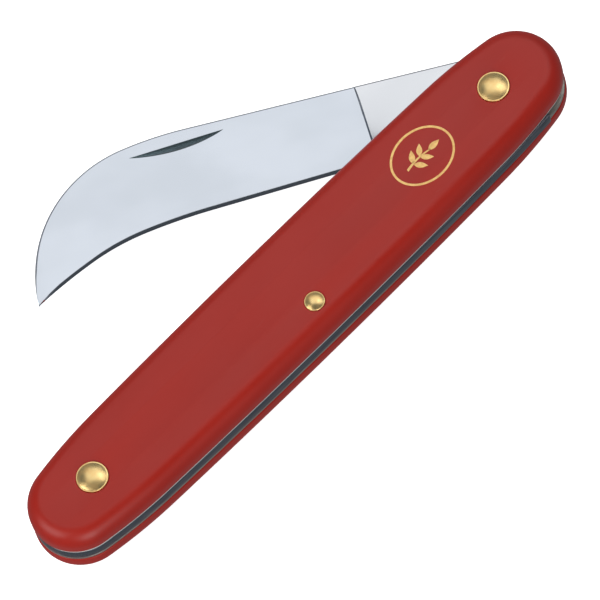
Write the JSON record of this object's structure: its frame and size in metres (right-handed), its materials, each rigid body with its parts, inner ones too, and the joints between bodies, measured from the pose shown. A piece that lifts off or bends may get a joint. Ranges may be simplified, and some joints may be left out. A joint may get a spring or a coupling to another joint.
{
  "type": "folding pruning knife",
  "caption": "Folding knife for pruning and grafting: hooked steel blade on a back spring, between liners and rounded red nylon scales held by brass rivets.",
  "frame": {"origin": "on the flat outer face of the back scale, halfway along the handle, on the line between the two large rivets", "axes": "+X along the handle towards the pivot, +Y towards the mouth that the blade folds into (-Y is the back spring), +Z out of the front scale"},
  "size_m": [0.11, 0.0488, 0.0133],
  "materials": {
    "red_nylon": "moulded, fine satin grain",
    "liner_alloy": "plain sheet, bright cut edge",
    "spring_steel": "polished along its back",
    "blade_steel": "mirror polished, satin tang",
    "rivet_brass": "polished domes",
    "gold_foil": "hot-stamped foil"
  },
  "bodies": {
    "handle": {"front_scale": "red_nylon", "back_scale": "red_nylon", "front_liner": "liner_alloy", "back_liner": "liner_alloy", "back_spring": "spring_steel", "pivot_pin": "rivet_brass", "pivot_burr_front": "rivet_brass", "pivot_burr_back": "rivet_brass", "end_pin": "rivet_brass", "end_burr_front": "rivet_brass", "end_burr_back": "rivet_brass", "centre_pin": "rivet_brass"},
    "blade": {"blade": "blade_steel"}
  },
  "joints": [
    {"name": "blade_pivot", "type": "hinge", "parent": "handle", "child": "blade", "pos_m": [0.0434, 0, 0.00585], "axis": [0, 0, 1], "range_deg": [-146.6, 24], "deforming": ["back_spring"]}
  ]
}
